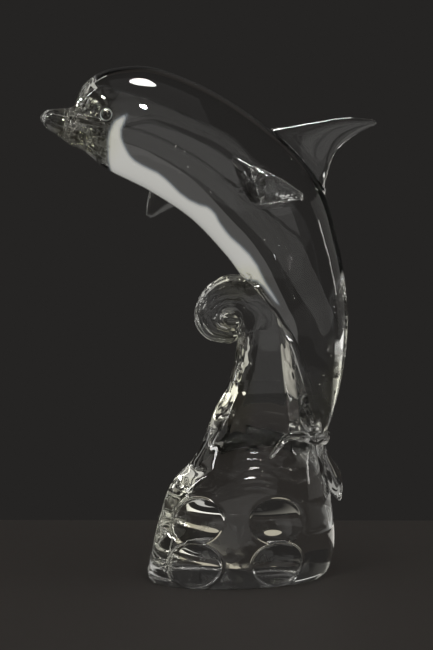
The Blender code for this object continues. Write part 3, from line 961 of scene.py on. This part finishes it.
for name, (thin, full, paintedGlow) in milkyLook.items():
    belly.data.materials.append(whiteGlass(name, thin, full, paintedGlow, milkySizes))
bubbles.data.materials.append(silveryAir("bubbleSkin", bubbleLook))
glass.data.materials.clear()
glass.data.materials.append(clearGlass(glassLook, waveSizes, faceSizes))
print("finishes made")


# the studio: place, aim, width, height, radiance before the spread narrows it, colour, spread in degrees
studioLights = {
    # highlights on the head and the shoulder
    "softTop": ((-0.055, -0.07, 1.47), (-0.05, -0.02, 0.33), 0.46, 0.40, 22.0, (1, 0.985, 0.95), 180),
    "frontSpot": ((-0.128, -0.711, 0.776), (-0.063, -0.06, 0.316), 0.075, 0.085, 34.0, (1, 1, 1), 9),
    # bright edges down the left
    "leftStrip": ((-1.15, 0.15, 1.00), (-0.08, 0, 0.25), 0.08, 0.6, 12.0, (1, 0.99, 0.97), 180),
    "leftSpot": ((-1.15, 0.06, 0.50), (0, 0, 0.14), 0.07, 0.24, 9.0, (1, 1, 0.98), 180),
    "leftPanel": ((-1.25, -0.35, 0.42), (0, 0, 0.2), 0.5, 0.7, 0.45, (1, 0.98, 0.93), 180),
    "leftNarrow": ((-1.10, -0.02, 0.42), (0, 0, 0.2), 0.09, 0.7, 2.0, (1, 0.98, 0.88), 180),
    # seen through the glass, from behind it
    "backStripA": ((-0.98, 0.30, 0.75), (0, 0, 0.2), 0.16, 0.75, 0.6, (1, 0.98, 0.90), 180),
    "backStripB": ((-0.82, 0.58, 0.75), (0, 0, 0.2), 0.20, 0.75, 0.6, (1, 0.98, 0.90), 180),
    "tailGlow": ((-0.585, 0.835, 0.322), (0.04, 0, 0.14), 0.50, 0.055, 1.0, (1, 0.99, 0.95), 180),
    "rightBack": ((0.70, 0.20, 0.26), (0, 0, 0.16), 0.5, 0.5, 0.3, (1, 0.98, 0.92), 180),
    "rightStrip": ((0.95, 0.03, 0.30), (0, 0, 0.16), 0.05, 0.25, 6.0, (1, 0.98, 0.93), 180),
    "backTable": ((0.34, 0.37, 0.003), (0.34, 0.37, 1.0), 0.28, 0.36, 0.5, (1, 0.98, 0.92), 180),
    "upBack": ((0.1, 1.5, 1.15), (0, 0, 0.25), 1.8, 0.9, 0.05, (1, 0.98, 0.95), 180),
    # grey panels in the flank, and the foot from below
    "frontLow": ((0.0, -2.4, 0.47), (0, -1.0, 0.47), 4.4, 0.94, 0.48, (1, 0.99, 0.96), 180),
    "frontHigh": ((0.0, -2.4, 1.77), (0, -1.0, 1.77), 4.4, 1.66, 0.16, (1, 0.99, 0.96), 180),
    "tableGlow": ((0.0, -0.95, 0.004), (0, -0.95, 1.0), 2.4, 1.2, 0.46, (1, 0.99, 0.95), 180),
    # small ones that the face, the stem, the curl and the foot pass on
    "eyeBits": ((0.232, 0.912, 0.060), (-0.100, 0.0, 0.302), 0.06, 0.06, 1.8, (1, 0.98, 0.9), 4),
    "cheekGlow": ((0.620, 0.604, 0.644), (-0.100, 0.0, 0.302), 0.16, 0.16, 1.5, (1, 0.98, 0.80), 4),
    "browGlow": ((-0.820, 0.604, 0.644), (-0.100, 0.0, 0.302), 0.08, 0.08, 1.6, (1, 0.98, 0.9), 4),
    "bandGlow": ((-0.085, 0.30, 0.052), (0.033, 0.0, 0.128), 0.17, 0.095, 0.010, (1, 0.96, 0.82), 30),
    "curlTable": ((0.13, 0.17, 0.003), (0.13, 0.17, 1.0), 0.12, 0.14, 1.1, (1, 0.98, 0.9), 180),
    "footPatch": ((0.004, 0.074, 0.003), (0.004, 0.074, 1.0), 0.020, 0.028, 0.34, (1, 0.93, 0.72), 180),
    # the room
    "roomFill": ((0.0, -0.6, 2.4), (0, 0, 0), 2.0, 2.0, 0.14, (1, 0.98, 0.96), 180),
}
roundLights = ("softTop", "footPatch")
floorLights = ("roomFill",)  # the others leave the floor alone
roomAir = {"colour": (0.0185, 0.0176, 0.0168, 1), "bounces": 24, "reflections": 16}


# area lights turned from their place to their aim, of energy pi times area times radiance
def lightStudio(lights, pieces):
    lit = bpy.data.collections.new("litPieces")
    for piece in pieces:
        lit.objects.link(piece)
    for name, (place, aim, wide, tall, radiance, colour, spread) in lights.items():
        data = bpy.data.lights.new(name, "AREA")
        data.shape = "ELLIPSE" if name in roundLights else "RECTANGLE"
        data.size, data.size_y = wide, tall
        data.spread = np.radians(spread)
        data.energy, data.color = radiance * np.pi * wide * tall, colour
        lamp = bpy.data.objects.new(name, data)
        lamp.location = place
        lamp.rotation_euler = (Vector(place) - Vector(aim)).to_track_quat("Z", "Y").to_euler()
        bpy.context.scene.collection.objects.link(lamp)
        lamp.visible_camera = False
        if name not in floorLights:
            lamp.light_linking.receiver_collection = lit


# dim air of one colour round the studio, and enough bounces for light to cross the glass many times
def fillRoom(air):
    world = bpy.data.worlds.new("studioAir")
    world.use_nodes = True
    world.node_tree.nodes["Background"].inputs["Color"].default_value = air["colour"]
    scene = bpy.context.scene
    scene.world = world
    tracing = scene.cycles
    tracing.max_bounces = tracing.transmission_bounces = air["bounces"]
    tracing.glossy_bounces = air["reflections"]
    tracing.caustics_refractive = tracing.caustics_reflective = False
    scene.view_settings.view_transform = "Standard"


lightStudio(studioLights, (glass, belly))
fillRoom(roomAir)

floorSizes = {
    "left": -1.2,
    "right": 1.2,
    "front": -1.2,
    "back": 0.27,
    "drop": 0.0002,
    "colour": (0.68, 0.63, 0.59, 1),
    "grain": (40.0, 4.0),  # noise scale, detail
    "grainDull": 0.2,
    "leastDull": 0.5,
}


# one flat face, a hair under the foot
def paleFloor(s):
    mesh = bpy.data.meshes.new("paleFloor")
    x0, x1, y0, y1, z = s["left"], s["right"], s["front"], s["back"], -s["drop"]
    mesh.from_pydata([(x0, y0, z), (x1, y0, z), (x1, y1, z), (x0, y1, z)], [], [(0, 1, 2, 3)])
    floor = bpy.data.objects.new("paleFloor", mesh)
    bpy.context.scene.collection.objects.link(floor)
    f = Finish("paleFloor")
    dull = f.noise(f.place(), *s["grain"]) * s["grainDull"] + s["leastDull"]
    floor.data.materials.append(f.give(Base_Color=s["colour"], Roughness=dull))


paleFloor(floorSizes)
print("studio made")
